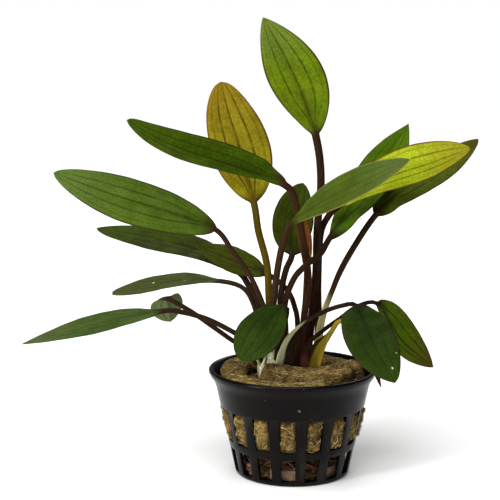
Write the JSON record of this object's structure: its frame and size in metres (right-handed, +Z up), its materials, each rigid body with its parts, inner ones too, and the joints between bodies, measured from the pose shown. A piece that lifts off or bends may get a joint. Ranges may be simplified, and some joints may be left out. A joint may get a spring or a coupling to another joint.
{
  "type": "potted amazon sword plant",
  "caption": "Broad-leaved aquarium sword plant growing from rock wool in a small black net pot that stands on its flat base.",
  "frame": {"origin": "centre of the flat underside of the net pot, on the pot's own axis", "axes": "+Z up along the pot's axis; the front view looks along +Y with +X to its right"},
  "size_m": [0.1476, 0.0815, 0.1505],
  "materials": {
    "pot": "satin",
    "rock_wool": "matte",
    "crown": "satin",
    "root": "matte",
    "leaf_green": "satin",
    "leaf_dark": "satin",
    "leaf_gold": "satin",
    "leaf_lime": "satin",
    "leaf_young": "satin",
    "leaf_withered": "matte"
  },
  "bodies": {
    "root": {"net_pot": "pot", "rock_wool_plug": "rock_wool", "rock_wool_front": "rock_wool", "rock_wool_roll": "rock_wool", "rock_wool_back": "rock_wool", "rock_wool_left": "rock_wool", "crown_left": "crown", "crown_right": "crown", "root_front": "root", "root_left": "root", "root_right": "root", "leaf_top": "leaf_green", "leaf_gold": "leaf_gold", "leaf_left_high": "leaf_dark", "leaf_left_broad": "leaf_green", "leaf_left_dark": "leaf_dark", "leaf_left_olive": "leaf_dark", "leaf_centre_dark": "leaf_dark", "leaf_right_front": "leaf_green", "leaf_right_back": "leaf_green", "leaf_right_lime": "leaf_lime", "leaf_right_dark": "leaf_dark", "leaf_droop_front": "leaf_dark", "leaf_droop_right": "leaf_green", "leaf_droop_left": "leaf_dark", "leaf_left_narrow": "leaf_green", "leaf_left_low": "leaf_green", "leaf_left_curled": "leaf_green", "leaf_young_orange": "leaf_young", "leaf_withered": "leaf_withered"}
  },
  "joints": []
}
